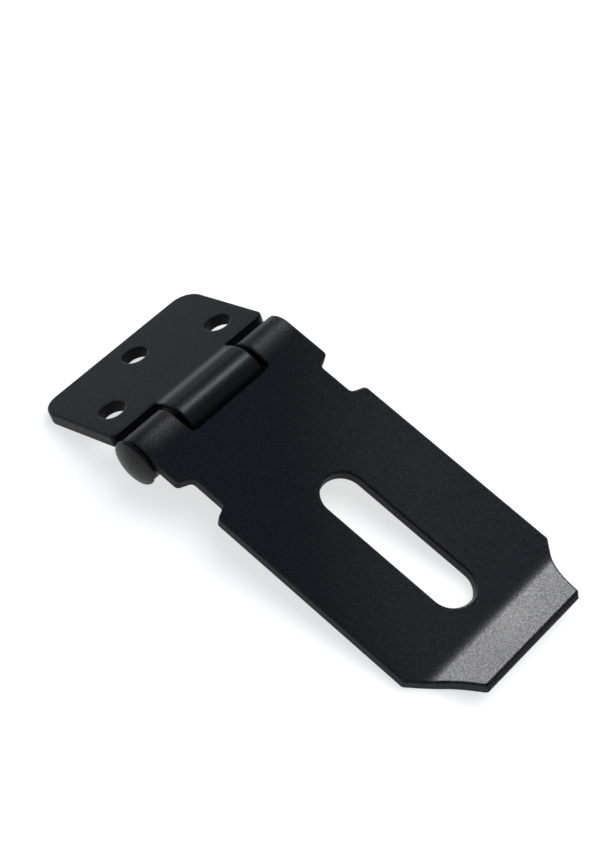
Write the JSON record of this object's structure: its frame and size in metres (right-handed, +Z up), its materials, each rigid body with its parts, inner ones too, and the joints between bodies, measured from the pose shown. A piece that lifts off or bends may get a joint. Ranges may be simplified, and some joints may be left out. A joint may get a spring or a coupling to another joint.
{
  "type": "door hasp",
  "caption": "Hinged door hasp: a screw-down leaf with a tongue rolled round a domed pin, and a long slotted strap with an upturned, tapered finger lip. Black powder-coated steel.",
  "frame": {"origin": "on the table under the middle of the hasp, which stands open like a shallow tent on the leaf's back edge and the strap's bend", "axes": "+X from the leaf towards the strap's finger lip, +Y along the hinge pin from its domed head to its peened end, +Z up"},
  "size_m": [0.0969, 0.0406, 0.0136],
  "materials": {
    "powder_coat": "fine-grained black powder coat with a soft satin sheen",
    "pin_coat": "smooth satin black coat"
  },
  "bodies": {
    "leaf": {"hinge_leaf": "powder_coat"},
    "strap": {"hasp_strap": "powder_coat", "hinge_pin": "pin_coat"}
  },
  "joints": [
    {"name": "hasp_hinge", "type": "hinge", "parent": "leaf", "child": "strap", "pos_m": [-0.02331, 0.0007, 0.009], "axis": [0, 1, 0], "range_deg": [-114, 150]}
  ]
}
